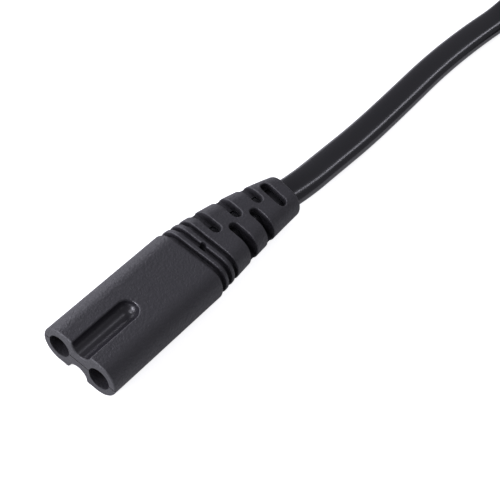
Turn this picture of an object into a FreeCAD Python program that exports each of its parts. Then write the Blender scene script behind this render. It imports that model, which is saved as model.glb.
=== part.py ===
import FreeCAD, Part
import Sketcher
import math
import os

# Figure-eight mains connector, moulded on a flat twin cord, with the rest of its lead.
# Millimetres. +X runs from the mating face to the cord, +Z is up.
# The origin is under the middle of the moulded connector, on the surface it lies on.

Vector = FreeCAD.Vector
Rotation = FreeCAD.Rotation
Placement = FreeCAD.Placement

doc = FreeCAD.newDocument("FigureEightConnector")

drivingSizes = [
    ("contactPitch", 8.6, "between the centres of the two contacts"),
    ("bodyWidth", 15.5, "moulded body, across both contacts"),
    ("bodyHeight", 7.3, "moulded body, top to underside"),
    ("bodyLength", 27.6, "mating face to the first ring groove's shoulder"),
    ("frontRound", 0.3, "edges of the mating face and lips of the waist"),
    ("rearRound", 0.7, "shoulder at the back of the body"),
    ("waistRadius", 1.95, "half-round waist groove, top and underside"),
    ("waistLength", 12.9, "waist groove, mating face to its rounded end"),
    ("entryDiameter", 4.3, "holes in the mating face"),
    ("seamRise", 0.05, "mould's joint line on the mating face, above the middle"),
    ("seamWidth", 0.14, "mould's joint line"),
    ("seamDepth", 0.25, "mould's joint line"),
    ("frontWall", 2.2, "moulding in front of the contact carrier"),
    ("reliefLength", 25.0, "strain relief, along its bent centre line"),
    ("reliefBend", 8.7, "set that the relief has taken, degrees towards -Y"),
    ("reliefStartWidth", 15.2, "relief where it leaves the body"),
    ("reliefStartHeight", 7.0, "relief where it leaves the body"),
    ("reliefEndWidth", 8.5, "relief at the cord"),
    ("reliefEndHeight", 6.0, "relief at the cord"),
    ("reliefSwell", 0.25, "relief's sides half-way along, beyond a straight taper"),
    ("reliefEndRound", 0.9, "edge at the cord"),
    ("grooveFirst", 0.42, "body's shoulder to the first ring groove's middle"),
    ("groovePitch", 1.9, "between the ring grooves"),
    ("grooveWidth", 1.06, "ring grooves"),
    ("grooveDepth", 1.05, "ring grooves, from the relief's surface"),
    ("slotFirst", 7.27, "body's shoulder to the first side slot's middle"),
    ("slotPitch", 2.69, "between slots, which alternate from side to side"),
    ("slotWidth", 2.05, "side slots and the last, closed slot"),
    ("webOffset", 0.6, "side webs, above the middle at +Y and below it at -Y"),
    ("webHeight", 0.8, "webs that tie the relief's ribs along each side"),
    ("webInset", 0.26, "webs' outer faces, from the relief's surface"),
    ("slotRound", 0.18, "edges of the grooves and slots"),
    ("closedSlotPlace", 21.2, "body's shoulder to the last slot's middle"),
    ("closedSlotLength", 5.9, "last slot, which stays clear of both sides"),
    ("pitPlace", 2.6, "body's shoulder to the support-pin mark in the second ring groove"),
    ("pitDiameter", 1.3, "support-pin mark"),
    ("pitDepth", 1.9, "support-pin mark, from the relief's top"),
    ("carrierLength", 16.8, "hard carrier that holds the contacts"),
    ("carrierTubeDiameter", 5.4, "carrier round each contact"),
    ("carrierWebHeight", 1.6, "web between the carrier's tubes"),
    ("sleeveBore", 2.4, "contact sleeve, as the inlet's pin"),
    ("sleeveWall", 0.35, "rolled brass strip"),
    ("sleeveSlit", 0.4, "open seam of the rolled sleeve"),
    ("sleeveRecess", 4.6, "mating face to the sleeve's mouth"),
    ("sleeveLength", 9.9, "sleeve, mouth to the carrier's shoulder"),
    ("sleeveFloor", 0.8, "closed end of the sleeve"),
    ("crimpDiameter", 2.4, "crimp barrel behind the sleeve"),
    ("cordWidth", 6.0, "flat twin cord"),
    ("cordThickness", 3.5, "flat twin cord"),
    ("coreDiameter", 2.2, "insulated core"),
    ("coreSpacing", 2.4, "between the cores inside the cord"),
    ("conductorDiameter", 1.1, "copper strands"),
    ("conductorGrip", 3.5, "strands inside a crimp"),
    ("plugFaceWidth", 35.3, "plug, across its pins"),
    ("plugFaceHeight", 13.7, "plug, top to underside"),
    ("plugBodyLength", 32.0, "plug body, from its relief to the face"),
    ("plugStraight", 15.0, "plug body's full width, behind the face"),
    ("plugReliefLength", 14.0, "plug's relief"),
    ("plugReliefWidth", 7.8, "plug's relief at the cord"),
    ("plugReliefHeight", 6.2, "plug's relief at the cord"),
    ("plugNeckWidth", 11.5, "plug body where its relief begins"),
    ("plugNeckHeight", 8.8, "plug body where its relief begins"),
    ("plugFaceRound", 1.2, "edge of the plug's face"),
    ("plugFrontWall", 2.0, "moulding in front of the plug's bridge"),
    ("pinPitch", 18.6, "between the plug's pins"),
    ("pinDiameter", 4.0, "plug pin"),
    ("pinReach", 19.0, "plug pin, face to tip"),
    ("pinNoseRound", 1.8, "round of a pin's tip"),
    ("pinShankDiameter", 3.0, "pin inside its collar and the bridge"),
    ("collarDiameter", 3.5, "insulating collar on a pin"),
    ("collarReach", 10.0, "collar, from the plug's face"),
    ("bridgeLength", 9.0, "plug's inner bridge, along the pins"),
    ("bridgeWidth", 27.0, "plug's inner bridge"),
    ("bridgeHeight", 8.4, "plug's inner bridge"),
    ("pinTail", 4.0, "pin's crimp, behind the bridge"),
    ("hankRun", 48.0, "straight length between the hank's folds"),
    ("hankFold", 22.8, "outermost turn's radius at a fold"),
    ("hankLanes", 3, "turns side by side"),
    ("hankLayers", 2, "turns one above the other"),
    ("hankGap", 0.1, "between neighbouring turns"),
    ("hankLead", 17.0, "straight lead into the outermost turn"),
    ("leadStraight", 9.0, "cord's level run up to that lead"),
    ("hankStart", 141.0, "X where the hank's straight length begins"),
    ("laneY", -3.9, "Y of the outermost turn as the cord runs in"),
    ("tieThickness", 0.7, "strap round each side of the hank"),
    ("tieWidth", 8.0, "strap round each side of the hank"),
    ("restGap", 0.05, "cord, hank and plug above what they lie on"),
    ("plugSide", 6.0, "plug's axis, from the middle of the hank"),
    ("plugStart", 24.0, "plug's relief, from the hank's straight start"),
]

sheet = doc.addObject("Spreadsheet::Sheet", "dims")
for row, (alias, number, note) in enumerate(drivingSizes, 1):
    sheet.set("A%d" % row, str(number))
    sheet.set("B%d" % row, note)
    sheet.setAlias("A%d" % row, alias)
doc.recompute()


def size(alias):
    return float(getattr(sheet, alias))


# Expressions that several pieces share.
bendRadius = "(dims.reliefLength / (dims.reliefBend * pi / 180))"
rearReach = (
    "(dims.bodyLength + " + bendRadius + " * sin(dims.reliefBend)"
    " + (dims.reliefEndWidth / 2 - dims.reliefEndRound) * sin(dims.reliefBend)"
    " + dims.reliefEndRound * (1 - cos(dims.reliefBend)))"
)
frontX = "(0 - " + rearReach + " / 2)"
shoulderX = "(" + frontX + " + dims.bodyLength)"
middleZ = "dims.bodyHeight / 2"
carrierStartX = "(" + frontX + " + dims.frontWall)"
sleeveStartX = "(" + frontX + " + dims.sleeveRecess)"
crimpStartX = "(" + sleeveStartX + " + dims.sleeveLength)"
crimpLength = "(dims.frontWall + dims.carrierLength - dims.sleeveRecess - dims.sleeveLength)"
hankBottom = "(2 * dims.restGap + dims.tieThickness)"
laneStep = "(dims.cordThickness + dims.hankGap)"
layerStep = "(dims.cordWidth + dims.hankGap)"
hankTop = "(" + hankBottom + " + dims.hankLayers * " + layerStep + ")"
hankMiddleY = "(dims.laneY - dims.hankFold)"
plugX = "(dims.hankStart + dims.plugStart)"
plugY = "(" + hankMiddleY + " + dims.plugSide)"
plugZ = "(" + hankTop + " + dims.restGap + dims.plugFaceHeight / 2)"
plugLength = "(dims.plugReliefLength + dims.plugBodyLength)"
plugFaceX = "(" + plugX + " + " + plugLength + ")"
bridgeStartX = "(" + plugFaceX + " - dims.plugFrontWall - dims.bridgeLength)"
pinStartX = "(" + bridgeStartX + " - dims.pinTail)"


def worked(expression):
    return float(sheet.evalExpression(expression.replace("dims.", "")))


def seat(piece, x, y="0", z="0"):
    piece.setExpression("Placement.Base.x", x)
    piece.setExpression("Placement.Base.y", y)
    piece.setExpression("Placement.Base.z", z)
    return piece


def newBody(name):
    return doc.addObject("PartDesign::Body", name)


def plane(body, role):
    return next(item for item in body.Origin.OriginFeatures if item.Role == role)


def newSketch(body, role, name):
    sketch = body.newObject("Sketcher::SketchObject", name)
    sketch.AttachmentSupport = (plane(body, role), [""])
    sketch.MapMode = "FlatFace"
    return sketch


def constrain(sketch, constraint, expression):
    index = sketch.addConstraint(constraint)
    sketch.setExpression("Constraints[%d]" % index, expression)


def stadiumSketch(body, role, name, longSide, shortSide):
    # two straight sides and two half-round ends, centred on the sketch's origin
    sketch = newSketch(body, role, name)
    radius = worked(shortSide) / 2
    reach = worked(longSide) / 2 - radius
    up = Vector(0, 0, 1)
    sketch.addGeometry([
        Part.LineSegment(Vector(-reach, -radius, 0), Vector(reach, -radius, 0)),
        Part.ArcOfCircle(Part.Circle(Vector(reach, 0, 0), up, radius), -math.pi / 2, math.pi / 2),
        Part.LineSegment(Vector(reach, radius, 0), Vector(-reach, radius, 0)),
        Part.ArcOfCircle(Part.Circle(Vector(-reach, 0, 0), up, radius), math.pi / 2, 3 * math.pi / 2),
    ])
    for piece in range(4):
        sketch.addConstraint(Sketcher.Constraint("Tangent", piece, 2, (piece + 1) % 4, 1))
    sketch.addConstraint(Sketcher.Constraint("Equal", 1, 3))
    sketch.addConstraint(Sketcher.Constraint("Horizontal", 0))
    sketch.addConstraint(Sketcher.Constraint("Symmetric", 1, 3, 3, 3, -1, 1))
    constrain(sketch, Sketcher.Constraint("Radius", 1, radius), "(%s) / 2" % shortSide)
    constrain(sketch, Sketcher.Constraint("DistanceX", 3, 3, 1, 3, 2 * reach),
              "(%s) - (%s)" % (longSide, shortSide))
    return sketch


def pad(body, sketch, length, middle=False):
    feature = body.newObject("PartDesign::Pad", body.Name + "Pad")
    feature.Profile = sketch
    feature.Midplane = middle
    feature.setExpression("Length", length)
    return feature


def cylinder(name, diameter, length, x, y, z):
    # a round bar along +X
    bar = doc.addObject("Part::Cylinder", name)
    bar.Placement = Placement(Vector(), Rotation(Vector(0, 1, 0), 90))
    bar.setExpression("Radius", "(%s) / 2" % diameter)
    bar.setExpression("Height", length)
    return seat(bar, x, y, z)


def block(name, length, width, height, x, y, z):
    bar = doc.addObject("Part::Box", name)
    bar.setExpression("Length", length)
    bar.setExpression("Width", width)
    bar.setExpression("Height", height)
    return seat(bar, x, y, z)


def fuse(name, pieces):
    joined = doc.addObject("Part::MultiFuse", name)
    joined.Shapes = pieces
    return joined


def cut(name, base, tools):
    tool = tools[0] if len(tools) == 1 else fuse(name + "Tools", tools)
    result = doc.addObject("Part::Cut", name)
    result.Base = base
    result.Tool = tool
    return result


subParts = []


def subPart(piece, label):
    piece.Label = label
    subParts.append(piece)
    return piece


def edgesWhere(shape, test):
    return [index for index, edge in enumerate(shape.Edges, 1) if test(edge)]


# Moulded body: a flat-sided stadium with a half-round waist groove above and below.

def makeHousing():
    housing = newBody("Housing")
    outline = stadiumSketch(housing, "YZ_Plane", "HousingOutline", "dims.bodyWidth", "dims.bodyHeight")
    pad(housing, outline, "dims.bodyLength")
    doc.recompute()
    profile = newSketch(housing, "XZ_Plane", "WaistProfile")
    radius = size("waistRadius")
    length = size("waistLength")
    top = size("bodyHeight") / 2
    overrun = radius
    corners = [Vector(-overrun, top, 0), Vector(length, top, 0),
               Vector(length - radius, top - radius, 0), Vector(-overrun, top - radius, 0)]
    profile.addGeometry([
        Part.LineSegment(corners[0], corners[1]),
        Part.ArcOfCircle(Part.Circle(Vector(length - radius, top, 0), Vector(0, 0, 1), radius),
                         -math.pi / 2, 0),
        Part.LineSegment(corners[2], corners[3]),
        Part.LineSegment(corners[3], corners[0]),
    ])
    profile.addConstraint(Sketcher.Constraint("Coincident", 0, 2, 1, 2))
    profile.addConstraint(Sketcher.Constraint("Tangent", 1, 1, 2, 1))
    profile.addConstraint(Sketcher.Constraint("Coincident", 2, 2, 3, 1))
    profile.addConstraint(Sketcher.Constraint("Coincident", 3, 2, 0, 1))
    profile.addConstraint(Sketcher.Constraint("PointOnObject", 1, 3, 0))
    profile.addConstraint(Sketcher.Constraint("Horizontal", 0))
    profile.addConstraint(Sketcher.Constraint("Horizontal", 2))
    profile.addConstraint(Sketcher.Constraint("Vertical", 3))
    constrain(profile, Sketcher.Constraint("Radius", 1, radius), "dims.waistRadius")
    constrain(profile, Sketcher.Constraint("DistanceX", -1, 1, 0, 2, length), "dims.waistLength")
    constrain(profile, Sketcher.Constraint("DistanceY", -1, 1, 0, 2, top), "dims.bodyHeight / 2")
    constrain(profile, Sketcher.Constraint("DistanceX", 0, 1, -1, 1, overrun), "dims.waistRadius")
    waist = housing.newObject("PartDesign::Groove", "Waist")
    waist.Profile = profile
    waist.ReferenceAxis = (profile, ["Edge1"])
    waist.Angle = 360
    doc.recompute()
    mirrored = housing.newObject("PartDesign::Mirrored", "WaistBelow")
    mirrored.Originals = [waist]
    mirrored.MirrorPlane = (plane(housing, "XY_Plane"), [""])
    housing.Tip = mirrored
    doc.recompute()

    def softEdge(edge):
        atFront = all(abs(vertex.X) < 1e-6 for vertex in edge.Vertexes)
        lip = abs(abs(edge.CenterOfMass.z) - top) < 1e-6 and edge.CenterOfMass.x < length
        return atFront or (lip and abs(edge.CenterOfMass.y) < 1.01 * radius)

    fronts = housing.newObject("PartDesign::Fillet", "FrontRounds")
    fronts.Base = (mirrored, ["Edge%d" % index for index in edgesWhere(mirrored.Shape, softEdge)])
    fronts.setExpression("Radius", "dims.frontRound")
    doc.recompute()
    back = size("bodyLength")
    rears = housing.newObject("PartDesign::Fillet", "RearRounds")
    rears.Base = (fronts, ["Edge%d" % index for index in edgesWhere(
        fronts.Shape, lambda edge: all(abs(vertex.X - back) < 1e-6 for vertex in edge.Vertexes))])
    rears.setExpression("Radius", "dims.rearRound")
    doc.recompute()
    return seat(housing, frontX, "0", middleZ)


# Strain relief: a tapered bar along a bent spine, with ring grooves and slots that reach the cord.

def makeTaperedBar(name, inset):
    # the relief's form, or one that lies inside it by the inset
    bar = newBody(name)
    less = " - 2 * (%s)" % inset
    widths = ["dims.reliefStartWidth",
              "(dims.reliefStartWidth + dims.reliefEndWidth) / 2 + 2 * dims.reliefSwell",
              "dims.reliefEndWidth"]
    heights = ["dims.reliefStartHeight", "(dims.reliefStartHeight + dims.reliefEndHeight) / 2",
               "dims.reliefEndHeight"]
    sections = []
    for index, (width, height) in enumerate(zip(widths, heights)):
        section = stadiumSketch(bar, "YZ_Plane", name + "Section%d" % index, width + less, height + less)
        if index > 0:
            turn = "(dims.reliefBend * %d / 2)" % index
            section.AttachmentOffset = Placement(Vector(), Rotation(Vector(0, -1, 0), size("reliefBend")))
            section.setExpression("AttachmentOffset.Rotation.Angle", turn)
            section.setExpression("AttachmentOffset.Base.x", "0 - %s * (1 - cos%s)" % (bendRadius, turn))
            section.setExpression("AttachmentOffset.Base.z", "%s * sin%s" % (bendRadius, turn))
        sections.append(section)
    spine = newSketch(bar, "XY_Plane", name + "Spine")
    radius = worked(bendRadius)
    bend = math.radians(size("reliefBend"))
    spine.addGeometry(Part.ArcOfCircle(Part.Circle(Vector(0, -radius, 0), Vector(0, 0, 1), radius),
                                       math.pi / 2 - bend, math.pi / 2))
    spine.addConstraint(Sketcher.Constraint("Coincident", 0, 2, -1, 1))
    spine.addConstraint(Sketcher.Constraint("PointOnObject", 0, 3, -2))
    constrain(spine, Sketcher.Constraint("Radius", 0, radius), bendRadius)
    constrain(spine, Sketcher.Constraint("DistanceX", 0, 2, 0, 1, radius * math.sin(bend)),
              bendRadius + " * sin(dims.reliefBend)")
    doc.recompute()
    sweep = bar.newObject("PartDesign::AdditivePipe", name + "Sweep")
    sweep.Profile = sections[0]
    sweep.Spine = (spine, ["Edge1"])
    sweep.Transformation = "Multisection"
    sweep.Sections = [(section, [""]) for section in sections[1:]]
    doc.recompute()
    return seat(bar, shoulderX, "0", middleZ)


def seatOnSpine(piece, along):
    turn = "(dims.reliefBend * (%s) / dims.reliefLength)" % along
    piece.Placement = Placement(Vector(), Rotation(Vector(0, 0, -1), size("reliefBend")))
    piece.setExpression("Placement.Rotation.Angle", turn)
    return seat(piece, "%s + %s * sin%s" % (shoulderX, bendRadius, turn),
                "0 - %s * (1 - cos%s)" % (bendRadius, turn), middleZ)


def slotCutter(name, along, length, width, shift):
    # an upright slab across the spine, with round ends
    cutter = newBody(name)
    outline = stadiumSketch(cutter, "XY_Plane", name + "Outline", length, width)
    outline.AttachmentOffset = Placement(Vector(), Rotation(Vector(0, 0, 1), 90))
    outline.setExpression("AttachmentOffset.Base.y", shift)
    pad(cutter, outline, "2 * dims.bodyHeight", True)
    return seatOnSpine(cutter, along)


def makeWebs():
    # a little inside the relief's surface, the same after half a turn about the spine
    length = "2 * dims.reliefLength"
    x = shoulderX + " - dims.reliefLength / 2"
    upper = block("UpperWeb", length, "dims.bodyWidth", "dims.webHeight", x, "0", middleZ + " + dims.webOffset")
    lower = block("LowerWeb", length, "dims.bodyWidth", "dims.webHeight", x, "0 - dims.bodyWidth",
                  middleZ + " - dims.webOffset - dims.webHeight")
    form = makeTaperedBar("WebForm", "dims.webInset")
    webs = doc.addObject("Part::MultiCommon", "SideWebs")
    webs.Shapes = [fuse("WebBlocks", [upper, lower]), form]
    return webs


def makeSlotting():
    # ring grooves of one depth, and slots down to the cord; webs stay along both sides
    webs = makeWebs()
    grooveCore = makeTaperedBar("GrooveCore", "dims.grooveDepth")
    grooves = [slotCutter("RingGroove%d" % (index + 1), "dims.grooveFirst + %d * dims.groovePitch" % index,
                          "2 * dims.bodyWidth", "dims.grooveWidth", "0") for index in range(3)]
    slots = []
    for index in range(5):
        side = "" if index % 2 == 0 else "0 - "
        slots.append(slotCutter("SideSlot%d" % (index + 1), "dims.slotFirst + %d * dims.slotPitch" % index,
                                "dims.bodyWidth", "dims.slotWidth", side + "dims.bodyWidth / 2"))
    slots.append(slotCutter("ClosedSlot", "dims.closedSlotPlace", "dims.closedSlotLength",
                            "dims.slotWidth", "0"))
    return fuse("Slotting", [cut("Grooving", fuse("Grooves", grooves), [grooveCore, webs]),
                             cut("SideSlotting", fuse("Slots", slots), [webs])])


def makeSlottedRelief(relief):
    slotted = cut("SlottedRelief", relief, [makeSlotting()])
    doc.recompute()
    skin = relief.Shape.Faces
    backX = worked(shoulderX) + size("slotRound") / 2

    def sharpOnSkin(edge):
        middle = edge.valueAt((edge.FirstParameter + edge.LastParameter) / 2)
        if middle.x < backX or min(face.distToShape(Part.Vertex(middle))[0] for face in skin) > 1e-4:
            return False
        normals = [face.normalAt(*face.Surface.parameter(middle))
                   for face in slotted.Shape.ancestorsOfType(edge, Part.Face)]
        return len(normals) == 2 and normals[0].getAngle(normals[1]) > math.radians(30)

    softened = doc.addObject("Part::Fillet", "SoftRelief")
    softened.Base = slotted
    edgeRound = size("slotRound")
    softened.Edges = [(index, edgeRound, edgeRound) for index in edgesWhere(slotted.Shape, sharpOnSkin)]
    return softened


def makePit():
    pit = doc.addObject("Part::Cylinder", "SupportPinMark")
    pit.setExpression("Radius", "dims.pitDiameter / 2")
    pit.setExpression("Height", "dims.bodyHeight")
    seatOnSpine(pit, "dims.pitPlace")
    pit.setExpression("Placement.Base.z", middleZ + " + dims.reliefStartHeight / 2 - dims.pitDepth")
    return pit


# Contacts: two brass sleeves in a hard carrier, each crimped on its core.

def makeCarrier():
    tubes = [cylinder("CarrierTube" + side, "dims.carrierTubeDiameter", "dims.carrierLength",
                      carrierStartX, sign + "dims.contactPitch / 2", middleZ)
             for side, sign in (("Left", ""), ("Right", "0 - "))]
    web = block("CarrierWeb", "dims.carrierLength", "dims.contactPitch", "dims.carrierWebHeight",
                carrierStartX, "0 - dims.contactPitch / 2", middleZ + " - dims.carrierWebHeight / 2")
    envelope = fuse("CarrierEnvelope", tubes + [web])
    bores = []
    for side, sign in (("Left", ""), ("Right", "0 - ")):
        y = sign + "dims.contactPitch / 2"
        bores.append(cylinder("SleeveChamber" + side, "dims.entryDiameter",
                              "dims.sleeveRecess + dims.sleeveLength - dims.frontWall",
                              carrierStartX, y, middleZ))
        bores.append(cylinder("CrimpSeat" + side, "dims.crimpDiameter", crimpLength,
                              crimpStartX, y, middleZ))
    subPart(cut("ContactCarrier", envelope, bores), "contact_carrier")
    return envelope


def makeContact(side, sign):
    y = sign + "dims.contactPitch / 2"
    barrel = cylinder("Sleeve" + side, "dims.sleeveBore + 2 * dims.sleeveWall", "dims.sleeveLength",
                      sleeveStartX, y, middleZ)
    crimp = cylinder("Crimp" + side, "dims.crimpDiameter", crimpLength, crimpStartX, y, middleZ)
    bore = cylinder("SleeveBore" + side, "dims.sleeveBore", "dims.sleeveLength - dims.sleeveFloor",
                    sleeveStartX, y, middleZ)
    slitY = y if sign == "" else y + " - dims.sleeveBore"
    slit = block("SleeveSlit" + side, "dims.sleeveLength - 2 * dims.sleeveFloor", "dims.sleeveBore",
                 "dims.sleeveSlit", sleeveStartX, slitY, middleZ + " - dims.sleeveSlit / 2")
    strands = cylinder("CrimpHole" + side, "dims.conductorDiameter", "dims.conductorGrip",
                       crimpStartX + " + " + crimpLength + " - dims.conductorGrip", y, middleZ)
    return cut("Contact" + side, fuse("ContactBlank" + side, [barrel, crimp]), [bore, slit, strands])


# Cores: each leaves its crimp, swings in to the cord in two equal arcs and meets the sheath.

def swingEdges(start, end):
    # two tangent arcs between parallel directions along X
    middle = (start + end) * 0.5
    along = abs(end.x - start.x)
    across = abs(end.y - start.y)
    half = math.atan2(across, along)
    radius = along / (2 * math.sin(2 * half))
    edges = []
    for first, last in ((start, middle), (middle, end)):
        towards = 1 if (last.y - first.y) > 0 else -1
        if first is start:
            centre = Vector(start.x, start.y + towards * radius, start.z)
        else:
            centre = Vector(end.x, end.y - towards * radius, end.z)
        chord = (first + last) * 0.5
        crown = centre + (chord - centre).normalize() * radius
        edges.append(Part.Arc(first, crown, last).toShape())
    return edges


def sweepRound(name, edges, diameter):
    spine = doc.addObject("Part::Feature", name + "Spine")
    spine.Shape = Part.Wire(edges)
    ring = doc.addObject("Part::Circle", name + "Section")
    ring.setExpression("Radius", "(%s) / 2" % diameter)
    start = edges[0].valueAt(edges[0].FirstParameter)
    ring.Placement = Placement(start, Rotation(Vector(0, 1, 0), 90))
    swept = doc.addObject("Part::Sweep", name)
    swept.Sections = [ring]
    swept.Spine = (spine, ["Edge%d" % (index + 1) for index in range(len(edges))])
    swept.Solid = True
    return swept


def makeCore(prefix, colour, crimpEnd, cordEnd):
    # returns the full round of the core, which the overmould closes on
    name = prefix.title().replace("_", "") + colour.title()
    swing = swingEdges(crimpEnd, cordEnd)
    away = Vector(crimpEnd.x - cordEnd.x, 0, 0).normalize() * size("conductorGrip")
    grip = Part.LineSegment(crimpEnd + away, crimpEnd).toShape()
    conductor = sweepRound(name + "Conductor", [grip] + swing, "dims.conductorDiameter")
    subPart(conductor, prefix + "conductor_" + colour)
    fullRound = sweepRound(name + "Round", swing, "dims.coreDiameter")
    hole = sweepRound(name + "Hole", swing, "dims.conductorDiameter")
    subPart(cut(name + "Insulation", fullRound, [hole]), prefix + "core_" + colour)
    return fullRound


# Cord: straight runs joined by tangent arcs, each as large as its two runs allow.

cornerShare = 0.45


def roundedPath(points, name):
    edges = []
    radii = []
    start = points[0]
    for before, corner, after in zip(points, points[1:], points[2:]):
        back = before - corner
        ahead = after - corner
        reach = cornerShare * min(back.Length, ahead.Length)
        turn = math.pi - back.getAngle(ahead)
        radius = reach / math.tan(turn / 2)
        radii.append(round(radius, 1))
        back.normalize()
        ahead.normalize()
        enter = corner + back * reach
        leave = corner + ahead * reach
        crown = corner + (back + ahead).normalize() * (radius / math.cos(turn / 2) - radius)
        edges.append(Part.LineSegment(start, enter).toShape())
        edges.append(Part.Arc(enter, crown, leave).toShape())
        start = leave
    edges.append(Part.LineSegment(start, points[-1]).toShape())
    print(name, "arc radii, mm:", radii)
    return Part.Wire(edges)


def flatSection(centre, direction, width, height):
    # stadium across the path at its first point, wide side level
    radius = height / 2
    reach = width / 2 - radius
    side = Vector(0, 0, 1).cross(direction).normalize()
    up = direction.cross(side).normalize()

    def at(across, above):
        return centre + side * across + up * above

    return Part.Wire([
        Part.LineSegment(at(-reach, -radius), at(reach, -radius)).toShape(),
        Part.Arc(at(reach, -radius), at(reach + radius, 0), at(reach, radius)).toShape(),
        Part.LineSegment(at(reach, radius), at(-reach, radius)).toShape(),
        Part.Arc(at(-reach, radius), at(-reach - radius, 0), at(-reach, -radius)).toShape(),
    ])


def flatTube(path):
    direction = path.Edges[0].tangentAt(path.Edges[0].FirstParameter)
    start = path.Edges[0].valueAt(path.Edges[0].FirstParameter)
    section = flatSection(start, direction, size("cordWidth"), size("cordThickness"))
    shell = Part.BRepOffsetAPI.MakePipeShell(path)
    shell.setBiNormalMode(Vector(0, 0, 1))
    shell.add(section)
    shell.build()
    shell.makeSolid()
    solid = shell.shape()
    print("tube volume over section times length: %.4f"
          % (solid.Volume / (Part.Face(section).Area * path.Length)))
    return solid


def makeCord():
    half = math.radians(size("reliefBend") / 2)
    shoulder = Vector(worked(shoulderX), 0, worked(middleZ))
    corner = shoulder + Vector(worked(bendRadius) * math.tan(half), 0, 0)
    onFloor = size("restGap") + size("cordThickness") / 2
    leadZ = worked(hankBottom) + worked(layerStep) / 2
    leadEnd = Vector(size("hankStart") - size("hankLead"), size("laneY"), leadZ)
    route = [
        shoulder,
        corner,
        Vector(29.0, -2.46, 3.6),
        Vector(39.0, -2.38, 2.6),
        Vector(51.0, -2.52, onFloor),
        Vector(65.0, -2.25, onFloor),
        Vector(79.0, -1.8, onFloor),
        Vector(93.0, -2.4, onFloor),
        Vector(105.5, -3.7, onFloor),
        leadEnd - Vector(size("leadStraight"), 0, 0),
        leadEnd,
    ]
    cord = doc.addObject("Part::Feature", "Cord")
    cord.Shape = flatTube(roundedPath(route, "cord"))
    return subPart(cord, "cord")


# Hank: the put-away length as one ring of parallel runs and half-round folds.

def raceTrack(name, radius, height):
    track = newBody(name)
    outline = stadiumSketch(track, "XY_Plane", name + "Outline",
                            "dims.hankRun + 2 * (%s)" % radius, "2 * (%s)" % radius)
    pad(track, outline, height)
    return seat(track, "dims.hankStart + dims.hankRun / 2", hankMiddleY, hankBottom)


def makeHank():
    height = "dims.hankLayers * " + layerStep
    outer = raceTrack("HankOuter", "dims.hankFold + %s / 2" % laneStep, height)
    inner = raceTrack("HankInner", "dims.hankFold + %s / 2 - dims.hankLanes * %s" % (laneStep, laneStep),
                      height)
    ring = cut("HankRing", outer, [inner])
    lead = block("HankLead", "dims.hankLead", "dims.cordThickness", "dims.cordWidth",
                 "dims.hankStart - dims.hankLead", "dims.laneY - dims.cordThickness / 2",
                 hankBottom + " + dims.hankGap / 2")
    return subPart(fuse("Hank", [ring, lead]), "cord_hank")


def makeTie(side, towards):
    # a strap round the bundle of one long side
    bundleWidth = "(dims.hankLanes * %s)" % laneStep
    bundleHeight = "(dims.hankLayers * %s)" % layerStep
    x = "dims.hankStart + dims.hankRun / 2 - dims.tieWidth / 2"
    middle = "%s %s (dims.hankFold + %s / 2 - %s / 2)" % (hankMiddleY, towards, laneStep, bundleWidth)
    frames = []
    for name, grow in (("Outer", "dims.restGap + dims.tieThickness"), ("Inner", "dims.restGap")):
        frames.append(block("Tie" + name + side, "dims.tieWidth",
                            "%s + 2 * (%s)" % (bundleWidth, grow), "%s + 2 * (%s)" % (bundleHeight, grow),
                            x, "%s - %s / 2 - (%s)" % (middle, bundleWidth, grow),
                            "%s - (%s)" % (hankBottom, grow)))
    return subPart(cut("Tie" + side, frames[0], [frames[1]]), "hank_tie_" + side.lower())


tailInside = size("plugReliefLength") - size("cordThickness")


def makeTail(hank):
    layerZ = worked(hankTop) - worked(layerStep) / 2
    innerLane = worked(hankMiddleY) + size("hankFold") - (size("hankLanes") - 1) * worked(laneStep)
    start = size("hankStart")
    entry = Vector(worked(plugX), worked(plugY), worked(plugZ))
    route = [
        Vector(start - 10.0, innerLane, layerZ),
        Vector(start + 2.0, innerLane - 0.5, layerZ),
        Vector(start + 12.0, innerLane - 5.4, layerZ + 5.0),
        entry - Vector(1.0, 0, 0),
        entry + Vector(tailInside, 0, 0),
    ]
    tube = doc.addObject("Part::Feature", "TailTube")
    tube.Shape = flatTube(roundedPath(route, "tail"))
    return subPart(cut("Tail", tube, [hank]), "cord_tail")


# Plug: the lead's other end, two round pins in a bridge, overmoulded like the connector.

def makePlugForm():
    form = newBody("PlugForm")
    straightX = plugLength + " - dims.plugStraight"
    face = stadiumSketch(form, "YZ_Plane", "PlugFace", "dims.plugFaceWidth", "dims.plugFaceHeight")
    face.setExpression("AttachmentOffset.Base.z", straightX)
    pad(form, face, "dims.plugStraight")
    doc.recompute()
    stations = [
        ("0", "dims.plugReliefWidth", "dims.plugReliefHeight"),
        ("dims.plugReliefLength", "dims.plugNeckWidth", "dims.plugNeckHeight"),
        (straightX, "dims.plugFaceWidth", "dims.plugFaceHeight"),
    ]
    sections = []
    for index, (along, width, height) in enumerate(stations):
        section = stadiumSketch(form, "YZ_Plane", "PlugSection%d" % index, width, height)
        section.setExpression("AttachmentOffset.Base.z", along)
        sections.append(section)
    doc.recompute()
    loft = form.newObject("PartDesign::AdditiveLoft", "PlugTaper")
    loft.Profile = sections[0]
    loft.Sections = [(section, [""]) for section in sections[1:]]
    loft.Ruled = True
    doc.recompute()
    faceX = worked(plugLength)
    rounds = form.newObject("PartDesign::Fillet", "PlugFaceRounds")
    rounds.Base = (loft, ["Edge%d" % index for index in edgesWhere(
        loft.Shape, lambda edge: all(abs(vertex.X - faceX) < 1e-6 for vertex in edge.Vertexes))])
    rounds.setExpression("Radius", "dims.plugFaceRound")
    doc.recompute()
    return seat(form, plugX, plugY, plugZ)


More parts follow.
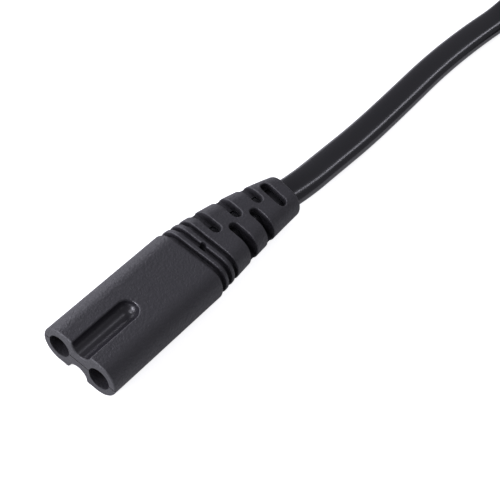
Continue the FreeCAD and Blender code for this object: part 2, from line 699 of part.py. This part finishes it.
def makePin(side, sign):
    y = "%s %s dims.pinPitch / 2" % (plugY, sign)
    shank = cylinder("PinShank" + side, "dims.pinShankDiameter",
                     "dims.pinTail + dims.bridgeLength + dims.plugFrontWall + dims.collarReach",
                     pinStartX, y, plugZ)
    tip = cylinder("PinTip" + side, "dims.pinDiameter", "dims.pinReach - dims.collarReach",
                   plugFaceX + " + dims.collarReach", y, plugZ)
    doc.recompute()
    noseX = worked(plugFaceX) + size("pinReach")
    nose = doc.addObject("Part::Fillet", "PinNose" + side)
    nose.Base = tip
    noseRound = size("pinNoseRound")
    nose.Edges = [(index, noseRound, noseRound) for index in edgesWhere(
        tip.Shape, lambda edge: len(edge.Vertexes) == 1 and abs(edge.Vertexes[0].X - noseX) < 1e-6)]
    hole = cylinder("PinCrimpHole" + side, "dims.conductorDiameter", "dims.conductorGrip",
                    pinStartX, y, plugZ)
    pin = cut("Pin" + side, fuse("PinBlank" + side, [shank, nose]), [hole])
    subPart(pin, "plug_pin_" + side.lower())
    sleeve = cylinder("CollarRound" + side, "dims.collarDiameter", "dims.plugFrontWall + dims.collarReach",
                      plugFaceX + " - dims.plugFrontWall", y, plugZ)
    collar = cut("Collar" + side, sleeve, [shank])
    subPart(collar, "plug_pin_collar_" + side.lower())
    return shank, sleeve


def makePlug(tail):
    form = makePlugForm()
    bridge = block("BridgeBlock", "dims.bridgeLength", "dims.bridgeWidth", "dims.bridgeHeight",
                   bridgeStartX, plugY + " - dims.bridgeWidth / 2", plugZ + " - dims.bridgeHeight / 2")
    shanks = []
    inside = [bridge, tail]
    for side, sign in (("Left", "+"), ("Right", "-")):
        shank, sleeve = makePin(side, sign)
        shanks.append(shank)
        inside += [shank, sleeve]
    subPart(cut("Bridge", bridge, shanks), "plug_bridge")
    tailEnd = worked(plugX) + tailInside
    for colour, sign in (("brown", 1), ("blue", -1)):
        crimpEnd = Vector(worked(pinStartX), worked(plugY) + sign * size("pinPitch") / 2, worked(plugZ))
        cordEnd = Vector(tailEnd, worked(plugY) + sign * size("coreSpacing") / 2, worked(plugZ))
        inside.append(makeCore("plug_", colour, crimpEnd, cordEnd))
    return subPart(cut("Plug", form, inside), "plug_body")


def makeConnector(cord):
    housing = makeHousing()
    relief = makeTaperedBar("Relief", "0")
    end = relief.Tip
    bend = math.radians(size("reliefBend"))
    reach = worked(bendRadius) * math.sin(bend)

    def atCord(edge):
        drop = worked(bendRadius) * (1 - math.cos(bend))
        return all(abs((vertex.X - reach) * math.cos(bend) - (vertex.Y + drop) * math.sin(bend)) < 1e-4
                   for vertex in edge.Vertexes)

    rounds = relief.newObject("PartDesign::Fillet", "ReliefEndRounds")
    rounds.Base = (end, ["Edge%d" % index for index in edgesWhere(end.Shape, atCord)])
    rounds.setExpression("Radius", "dims.reliefEndRound")
    doc.recompute()
    softRelief = makeSlottedRelief(relief)
    seam = block("FaceSeam", "dims.seamDepth", "2 * dims.bodyWidth", "dims.seamWidth", frontX,
                 "0 - dims.bodyWidth", middleZ + " + dims.seamRise - dims.seamWidth / 2")
    inside = [makePit(), makeCarrier(), cord, seam]
    for side, sign in (("Left", ""), ("Right", "0 - ")):
        subPart(makeContact(side, sign), "contact_sleeve_" + side.lower())
        inside.append(cylinder("EntryHole" + side, "dims.entryDiameter", "dims.frontWall", frontX,
                               sign + "dims.contactPitch / 2", middleZ))
    crimpX = worked(crimpStartX) + worked(crimpLength)
    for colour, sign in (("brown", 1), ("blue", -1)):
        crimpEnd = Vector(crimpX, sign * size("contactPitch") / 2, worked(middleZ))
        cordEnd = Vector(worked(shoulderX), sign * size("coreSpacing") / 2, worked(middleZ))
        inside.append(makeCore("", colour, crimpEnd, cordEnd))
    moulding = fuse("Moulding", [housing, softRelief])
    return subPart(cut("ConnectorBody", moulding, inside), "connector_body")


makeConnector(makeCord())
hank = makeHank()
makeTie("Left", "+")
makeTie("Right", "-")
makePlug(makeTail(hank))
doc.recompute()

for item in doc.Objects:
    if "Invalid" in item.State or "Error" in item.State:
        raise RuntimeError("%s is not built: %s" % (item.Label, item.State))
for piece in subParts:
    if piece.Shape.isNull() or not piece.Shape.isValid():
        raise RuntimeError("%s has no valid shape" % piece.Label)

os.makedirs("parts", exist_ok=True)
for piece in subParts:
    piece.Shape.exportStep("parts/%s.step" % piece.Label)
    print("%-24s solids %d volume %.2f" % (piece.Label, len(piece.Shape.Solids), piece.Shape.Volume))
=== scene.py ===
import bpy
import math
from mathutils import Euler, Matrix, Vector


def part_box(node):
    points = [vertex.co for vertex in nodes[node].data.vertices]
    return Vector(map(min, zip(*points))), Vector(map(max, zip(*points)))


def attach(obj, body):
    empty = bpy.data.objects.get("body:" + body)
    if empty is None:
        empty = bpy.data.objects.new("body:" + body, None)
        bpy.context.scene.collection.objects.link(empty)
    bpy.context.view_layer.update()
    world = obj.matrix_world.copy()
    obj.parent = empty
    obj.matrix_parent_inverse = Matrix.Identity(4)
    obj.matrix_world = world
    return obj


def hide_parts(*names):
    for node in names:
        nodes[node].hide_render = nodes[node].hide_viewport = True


# figure-eight mains connector on a flat twin cord, in metres, in the CAD model's frame
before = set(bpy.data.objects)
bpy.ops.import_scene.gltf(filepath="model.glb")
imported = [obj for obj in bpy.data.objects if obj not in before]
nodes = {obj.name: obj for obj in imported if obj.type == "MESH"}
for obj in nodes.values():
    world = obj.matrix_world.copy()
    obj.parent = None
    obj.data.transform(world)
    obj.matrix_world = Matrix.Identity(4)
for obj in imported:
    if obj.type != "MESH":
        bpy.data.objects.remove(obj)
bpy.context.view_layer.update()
print("frame loaded:", len(nodes), "nodes")

mm = 0.001


def toLinear(hexColour):
    channels = [int(hexColour[i:i + 2], 16) / 255 for i in (1, 3, 5)]
    return [c / 12.92 if c <= 0.04045 else ((c + 0.055) / 1.055) ** 2.4 for c in channels] + [1.0]


def addNode(tree, kind, settings=None, links=None):
    # settings go to properties or to sockets, links are socket name -> output socket
    node = tree.nodes.new(kind)
    for key, value in (settings or {}).items():
        if isinstance(key, str) and hasattr(node, key):
            setattr(node, key, value)
        else:
            node.inputs[key].default_value = value
    for key, output in (links or {}).items():
        tree.links.new(output, node.inputs[key])
    return node


def newMaterial(name):
    material = bpy.data.materials.new(name)
    material.use_nodes = True
    tree = material.node_tree
    tree.nodes.clear()
    return material, tree


# finishes

plasticIor = 1.53  # soft PVC, nylon and rubber lie close together


def patchMask(tree, place, inside):
    # 1 inside a box that is given as axis: (middle, half) in mm, 0 outside it
    axes = addNode(tree, "ShaderNodeSeparateXYZ", None, {"Vector": place}).outputs
    mask = None
    for axis, (middle, half) in inside.items():
        within = addNode(tree, "ShaderNodeMath", {"operation": "COMPARE", 1: middle * mm, 2: half * mm},
                         {0: axes[axis]}).outputs[0]
        if mask is None:
            mask = within
        else:
            mask = addNode(tree, "ShaderNodeMath", {"operation": "MULTIPLY"},
                           {0: mask, 1: within}).outputs[0]
    return mask


def grainedMoulding(name, look):
    # plastic from a spark-eroded mould: dull sheen, fine pebble grain, faint cloudy patches
    material, tree = newMaterial(name)
    place = addNode(tree, "ShaderNodeTexCoord").outputs["Object"]
    grain = addNode(tree, "ShaderNodeTexNoise",
                    {"Scale": 1 / (look["grain"] * mm), "Detail": 3.0, "Roughness": 0.6},
                    {"Vector": place}).outputs["Fac"]
    cloud = addNode(tree, "ShaderNodeTexNoise", {"Scale": 1 / (look["cloud"] * mm), "Detail": 2.0},
                    {"Vector": place}).outputs["Fac"]
    colour = addNode(tree, "ShaderNodeMixRGB",
                     {"Color1": toLinear(look["dark"]), "Color2": toLinear(look["pale"])},
                     {"Fac": cloud}).outputs["Color"]
    rough = addNode(tree, "ShaderNodeMapRange",
                    {"To Min": look["rough"][0], "To Max": look["rough"][1]},
                    {"Value": grain}).outputs[0]
    bump = addNode(tree, "ShaderNodeBump", {"Strength": look["bump"], "Distance": look["depth"] * mm},
                   {"Height": grain})
    for patch in look.get("patches", {}).values():
        mask = patchMask(tree, place, patch["inside"])
        if "colour" in patch:
            colour = addNode(tree, "ShaderNodeMixRGB", {"Color2": toLinear(patch["colour"])},
                             {"Fac": mask, "Color1": colour}).outputs["Color"]
        if "rough" in patch:
            rough = addNode(tree, "ShaderNodeMapRange", {"To Max": patch["rough"]},
                            {"Value": mask, "To Min": rough}).outputs[0]
        if "bump" in patch:
            strength = addNode(tree, "ShaderNodeMapRange",
                               {"To Min": look["bump"], "To Max": patch["bump"]}, {"Value": mask})
            tree.links.new(strength.outputs[0], bump.inputs["Strength"])
    shader = addNode(tree, "ShaderNodeBsdfPrincipled", {"IOR": plasticIor},
                     {"Base Color": colour, "Roughness": rough, "Normal": bump.outputs[0]})
    addNode(tree, "ShaderNodeOutputMaterial", None, {"Surface": shader.outputs[0]})
    return material


# extruded PVC: smoother and glossier than a moulding, with slow waves along it from the die
dieWaves = {"stretch": (0.12, 1.0, 1.0), "detail": 2.0, "shader": {"IOR": plasticIor}}
# turned or rolled metal: fine scratches round the piece, small changes of tarnish
toolMarks = {"stretch": (1.0, 0.1, 0.1), "detail": 3.0, "shader": {"Metallic": 1.0}}


def streakedSurface(name, look, marks):
    # one drawn-out pattern sets colour, gloss and relief together
    material, tree = newMaterial(name)
    place = addNode(tree, "ShaderNodeTexCoord").outputs["Object"]
    stretched = addNode(tree, "ShaderNodeMapping", {"Scale": marks["stretch"]}, {"Vector": place})
    streak = addNode(tree, "ShaderNodeTexNoise",
                     {"Scale": 1 / (look["spacing"] * mm), "Detail": marks["detail"]},
                     {"Vector": stretched.outputs[0]}).outputs["Fac"]
    colour = addNode(tree, "ShaderNodeMixRGB",
                     {"Color1": toLinear(look["dark"]), "Color2": toLinear(look["pale"])}, {"Fac": streak})
    rough = addNode(tree, "ShaderNodeMapRange",
                    {"To Min": look["rough"][0], "To Max": look["rough"][1]}, {"Value": streak})
    bump = addNode(tree, "ShaderNodeBump", {"Strength": look["bump"], "Distance": look["depth"] * mm},
                   {"Height": streak})
    shader = addNode(tree, "ShaderNodeBsdfPrincipled", marks["shader"],
                     {"Base Color": colour.outputs["Color"], "Roughness": rough.outputs[0],
                      "Normal": bump.outputs[0]})
    addNode(tree, "ShaderNodeOutputMaterial", None, {"Surface": shader.outputs[0]})
    return material


# grain, cloud, spacing and depth are in mm; mould grain is nearer 0.1 mm and drawn coarser so that it shows
faceSpan = (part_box("connector_body")[0].x / mm, 0.21)
connectorLook = {  # charcoal with a dull, broken sheen
    "dark": "#19181b", "pale": "#1f1e22", "grain": 0.42, "cloud": 4.0, "rough": (0.4, 0.66),
    "bump": 1.0, "depth": 0.13,
    "patches": {
        # painted light: the mating face is painted paler to stand in for the light it catches from the
        # front
        "face": {"inside": {"X": faceSpan}, "colour": "#262628"},
        # painted shade: the joint of the mould halves is painted near black for the shade that falls in its
        # crevice
        "seam": {"inside": {"X": faceSpan, "Z": (3.7, 0.2)}, "colour": "#050506", "rough": 0.2},
        # the waist comes from a polished insert
        "waist": {"inside": {"X": (-19.9, 6.4), "Y": (0.0, 1.97), "Z": (3.65, 3.6)},
                  "rough": 0.31, "bump": 0.08},
    },
}
plugLook = {  # the same charcoal with a finer grain
    "dark": "#19181b", "pale": "#1e1d20", "grain": 0.28, "cloud": 5.0, "rough": (0.42, 0.62),
    "bump": 0.35, "depth": 0.03}
strapLook = {  # flat dark grey, hardly any sheen
    "dark": "#1d1d1f", "pale": "#262628", "grain": 0.5, "cloud": 3.0, "rough": (0.6, 0.8),
    "bump": 0.5, "depth": 0.05}
nylonLook = {  # hard, even satin black
    "dark": "#151517", "pale": "#1b1b1d", "grain": 0.3, "cloud": 3.0, "rough": (0.45, 0.6),
    "bump": 0.2, "depth": 0.02}
collarLook = {  # satin black, slightly paler than the carrier
    "dark": "#19191b", "pale": "#202022", "grain": 0.25, "cloud": 3.0, "rough": (0.4, 0.55),
    "bump": 0.2, "depth": 0.02}
sheathLook = {  # near black with long, glossy highlights
    "dark": "#0f0f11", "pale": "#151517", "spacing": 2.2, "rough": (0.14, 0.24),
    "bump": 0.15, "depth": 0.05}
brownLook = {  # warm brown, half gloss
    "dark": "#5a3420", "pale": "#6b3f27", "spacing": 1.5, "rough": (0.3, 0.4), "bump": 0.1, "depth": 0.03}
blueLook = {  # clear mid blue, half gloss
    "dark": "#2a5f9e", "pale": "#336cb0", "spacing": 1.5, "rough": (0.3, 0.4), "bump": 0.1, "depth": 0.03}
brassLook = {  # warm yellow metal
    "dark": "#b08d45", "pale": "#c7a65c", "spacing": 0.2, "rough": (0.25, 0.4), "bump": 0.2, "depth": 0.01}
nickelLook = {  # bright, slightly warm silver
    "dark": "#b9b3a6", "pale": "#d2cdc2", "spacing": 0.2, "rough": (0.14, 0.26), "bump": 0.2, "depth": 0.01}
copperLook = {  # dull pink-brown metal
    "dark": "#a8643f", "pale": "#c27a52", "spacing": 0.15, "rough": (0.3, 0.45), "bump": 0.2, "depth": 0.02}

finishes = {
    "connector_body": grainedMoulding("moulded PVC connector", connectorLook),
    "plug_body": grainedMoulding("moulded PVC plug", plugLook),
    "hank_tie": grainedMoulding("rubber strap", strapLook),
    "carrier": grainedMoulding("black nylon", nylonLook),
    "collar": grainedMoulding("nylon pin collar", collarLook),
    "cord": streakedSurface("extruded PVC sheath", sheathLook, dieWaves),
    "core_brown": streakedSurface("brown PVC core", brownLook, dieWaves),
    "core_blue": streakedSurface("blue PVC core", blueLook, dieWaves),
    "sleeve": streakedSurface("rolled brass", brassLook, toolMarks),
    "pin": streakedSurface("nickel-plated brass", nickelLook, toolMarks),
    "conductor": streakedSurface("bare copper", copperLook, toolMarks),
}
print("finishes made:", len(finishes))

# the CAD nodes keep their shape and get their finish

nodeFinish = {
    "connector_body": "connector_body", "contact_carrier": "carrier",
    "contact_sleeve_left": "sleeve", "contact_sleeve_right": "sleeve",
    "conductor_brown": "conductor", "conductor_blue": "conductor",
    "core_brown": "core_brown", "core_blue": "core_blue",
    "hank_tie_left": "hank_tie", "hank_tie_right": "hank_tie",
    "plug_body": "plug_body", "plug_bridge": "carrier",
    "plug_pin_left": "pin", "plug_pin_right": "pin",
    "plug_pin_collar_left": "collar", "plug_pin_collar_right": "collar",
    "plug_conductor_brown": "conductor", "plug_conductor_blue": "conductor",
    "plug_core_brown": "core_brown", "plug_core_blue": "core_blue",
}
for nodeName, finish in nodeFinish.items():
    nodes[nodeName].data.materials.clear()
    nodes[nodeName].data.materials.append(finishes[finish])
print("nodes finished:", len(nodeFinish))

# the cord: route points as in the CAD source, then the hank's turns, then the tail to the plug

# width and thickness in mm, length in m; a squareness of 1 is an ellipse and less is boxier
cordSize = {"width": 6.0, "thickness": 3.5, "length": 1.3, "corners": 32, "squareness": 0.84, "steps": 6}
cordRoute = [  # x, y, z in mm and the share of a quarter turn that the flat side has twisted
    (1.09, 0.0, 3.65, 0), (13.61, 0.0, 3.65, 0), (29.0, -2.46, 3.6, 0), (39.0, -2.38, 2.6, 0),
    (51.0, -2.52, 1.8, 0), (65.0, -2.25, 1.8, 0), (79.0, -1.8, 1.8, 0), (93.0, -2.4, 1.8, 0),
    (105.5, -3.7, 1.8, 0), (115.0, -3.9, 3.85, 0.5), (124.0, -3.9, 3.85, 1),
]
tailRoute = [
    (143.0, -11.6, 9.95, 1), (153.0, -16.5, 14.95, 0.5), (164.0, -20.7, 19.9, 0), (175.5, -20.7, 19.9, 0),
]
hank = {"startX": 141.0, "run": 48.0, "middleY": -26.7, "foldPoints": 8, "runInset": 9.0,
        # lanes from the outermost turn inwards, radius and height of the cord's middle
        "lanes": [(22.8, 3.85), (22.8, 9.95), (19.2, 9.95), (19.2, 3.85), (15.6, 3.85), (15.6, 9.95)],
        # each turn passes to its next lane between these two stations
        "passes": [(17, 20), (14, 17), (12, 14), (10, 12), (3, 10)]}


def hankTurns():
    quarter = math.pi / 2
    step = math.pi / hank["foldPoints"]
    outside = 1 / math.cos(step / 2)  # fold points stand on the polygon round the turn
    nearX, farX = hank["startX"], hank["startX"] + hank["run"]
    runXs = (nearX + hank["runInset"], (nearX + farX) / 2, farX - hank["runInset"])
    # a station is its centre's x, the angle round that centre and the stretch of its reach
    stations = [(x, quarter, 1) for x in runXs]
    stations += [(farX, quarter - (i + 0.5) * step, outside) for i in range(hank["foldPoints"])]
    stations += [(x, -quarter, 1) for x in reversed(runXs)]
    stations += [(nearX, -quarter - (i + 0.5) * step, outside) for i in range(hank["foldPoints"])]
    points = []
    for turn, (first, last) in enumerate(hank["passes"]):
        (radius, height), (nextRadius, nextHeight) = hank["lanes"][turn:turn + 2]
        for index, (x, angle, stretch) in enumerate(stations):
            share = min(1.0, max(0.0, (index - first) / (last - first)))
            reach = (radius + (nextRadius - radius) * share) * stretch
            points.append((x + reach * math.cos(angle), hank["middleY"] + reach * math.sin(angle),
                           height + (nextHeight - height) * share, 1))
    return points


def squared(part):
    return math.copysign(abs(part) ** cordSize["squareness"], part)


def makeCord():
    # the section is a flat oval with slightly domed faces
    profile = bpy.data.curves.new("cordSection", "CURVE")
    profile.dimensions = "2D"
    edge = profile.splines.new("POLY")
    edge.points.add(cordSize["corners"] - 1)
    for i, point in enumerate(edge.points):
        angle = 2 * math.pi * i / cordSize["corners"]
        across = squared(math.cos(angle)) * cordSize["width"] / 2
        up = squared(math.sin(angle)) * cordSize["thickness"] / 2
        point.co = (across * mm, up * mm, 0, 1)
    edge.use_cyclic_u = True
    section = bpy.data.objects.new("cordSection", profile)
    bpy.context.scene.collection.objects.link(section)
    section.hide_render = True

    line = bpy.data.curves.new("cord", "CURVE")
    line.dimensions = "3D"
    line.twist_mode = "Z_UP"
    line.bevel_mode = "OBJECT"
    line.bevel_object = section
    line.use_fill_caps = True
    line.resolution_u = cordSize["steps"]
    spline = line.splines.new("NURBS")
    route = cordRoute + hankTurns() + tailRoute
    spline.points.add(len(route) - 1)
    for point, (x, y, z, twist) in zip(spline.points, route):
        point.co = (x * mm, y * mm, z * mm, 1)
        point.tilt = twist * math.pi / 2
    spline.order_u = 3
    spline.use_endpoint_u = True
    spline.use_smooth = True
    line.materials.append(finishes["cord"])
    cord = bpy.data.objects.new("flatCord", line)
    bpy.context.scene.collection.objects.link(cord)
    return cord


flatCord = makeCord()
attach(flatCord, "root")
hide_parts("cord", "cord_hank", "cord_tail")
print("cord laid")

# the stage: pale floor, soft lamps, camera at the photograph's angle

floorLook = {"size": 6.0, "below": 0.05, "colour": "#e0e0e0", "glow": 0.8, "mirrored": 0.12}


def makeFloor():
    bpy.ops.mesh.primitive_plane_add(size=floorLook["size"], location=(0, 0, -floorLook["below"] * mm))
    floor = bpy.context.object
    floor.name = "floor"
    material, tree = newMaterial("white paper")
    # a glow makes the paper white to the camera and pale in reflections, lamp light keeps the shadow
    rays = addNode(tree, "ShaderNodeLightPath")
    gloss = addNode(tree, "ShaderNodeMath", {"operation": "MULTIPLY", 1: floorLook["mirrored"]},
                    {0: rays.outputs["Is Glossy Ray"]})
    glow = addNode(tree, "ShaderNodeMapRange", {"To Max": floorLook["glow"]},
                   {"Value": rays.outputs["Is Camera Ray"], "To Min": gloss.outputs[0]})
    paper = addNode(tree, "ShaderNodeBsdfDiffuse", {"Color": toLinear(floorLook["colour"])})
    light = addNode(tree, "ShaderNodeEmission", None, {"Strength": glow.outputs[0]})
    both = addNode(tree, "ShaderNodeAddShader", None, {0: paper.outputs[0], 1: light.outputs[0]})
    addNode(tree, "ShaderNodeOutputMaterial", None, {"Surface": both.outputs[0]})
    floor.data.materials.append(material)


coolWhite = (0.9, 0.89, 1.0)
fillStrength = 0.335  # even light from all round
lamps = {  # place and size in m, watts, and the lamp's axis that stands upright; each faces the connector
    "frontLow": {"place": (-0.38, 0.18, 0.125), "size": (0.3, 0.12), "watts": 2.3, "upright": "Y"},
    "leftBox": {"place": (0.05, 0.55, 0.26), "size": (0.6, 0.25), "watts": 3.1, "upright": "Y"},
    "rightBox": {"place": (0.1, -0.6, 0.22), "size": (0.4, 0.2), "watts": 0.25, "upright": "Y"},
    "overStrip": {"place": (0.4, -0.1, 0.465), "size": (0.5, 0.04), "watts": 0.45, "upright": "X"},
    "frontHigh": {"place": (-0.285, 0.15, 0.37), "size": (0.2, 0.1), "watts": 0.7, "upright": "Y"},
}


def makeLamps():
    for name, lamp in lamps.items():
        light = bpy.data.lights.new(name, "AREA")
        light.shape = "RECTANGLE"
        light.size, light.size_y = lamp["size"]
        light.energy = lamp["watts"]
        light.color = coolWhite
        holder = bpy.data.objects.new(name, light)
        holder.location = lamp["place"]
        holder.rotation_euler = (-Vector(lamp["place"])).to_track_quat("-Z", lamp["upright"]).to_euler()
        bpy.context.scene.collection.objects.link(holder)


def makeWorld():
    world = bpy.data.worlds.new("studio")
    bpy.context.scene.world = world
    world.use_nodes = True
    tree = world.node_tree
    tree.nodes.clear()
    rays = addNode(tree, "ShaderNodeLightPath")
    fill = addNode(tree, "ShaderNodeBackground", {"Color": (*coolWhite, 1), "Strength": fillStrength})
    white = addNode(tree, "ShaderNodeBackground", {"Color": (1, 1, 1, 1), "Strength": 1.0})
    mixed = addNode(tree, "ShaderNodeMixShader", None,
                    {0: rays.outputs["Is Camera Ray"], 1: fill.outputs[0], 2: white.outputs[0]})
    addNode(tree, "ShaderNodeOutputWorld", None, {"Surface": mixed.outputs[0]})


# place, sensor, lens and nearest in mm, turn in degrees
cameraView = {"place": (-110.387, -62.721, 172.920), "turn": (37.2636, -10.3865, -51.4345),
              "sensor": 36.0, "lens": 88.74, "shift": (-0.0008, 0.001), "nearest": 10.0}


def makeCamera():
    camera = bpy.data.cameras.new("camera")
    camera.lens = cameraView["lens"]
    camera.sensor_width = cameraView["sensor"]
    camera.shift_x, camera.shift_y = cameraView["shift"]
    camera.clip_start = cameraView["nearest"] * mm
    holder = bpy.data.objects.new("camera", camera)
    holder.location = Vector(cameraView["place"]) * mm
    holder.rotation_euler = Euler([math.radians(angle) for angle in cameraView["turn"]], "XYZ")
    bpy.context.scene.collection.objects.link(holder)
    bpy.context.scene.camera = holder


makeFloor()
makeLamps()
makeWorld()
makeCamera()
bpy.context.scene.view_settings.view_transform = "Standard"
print("stage set")
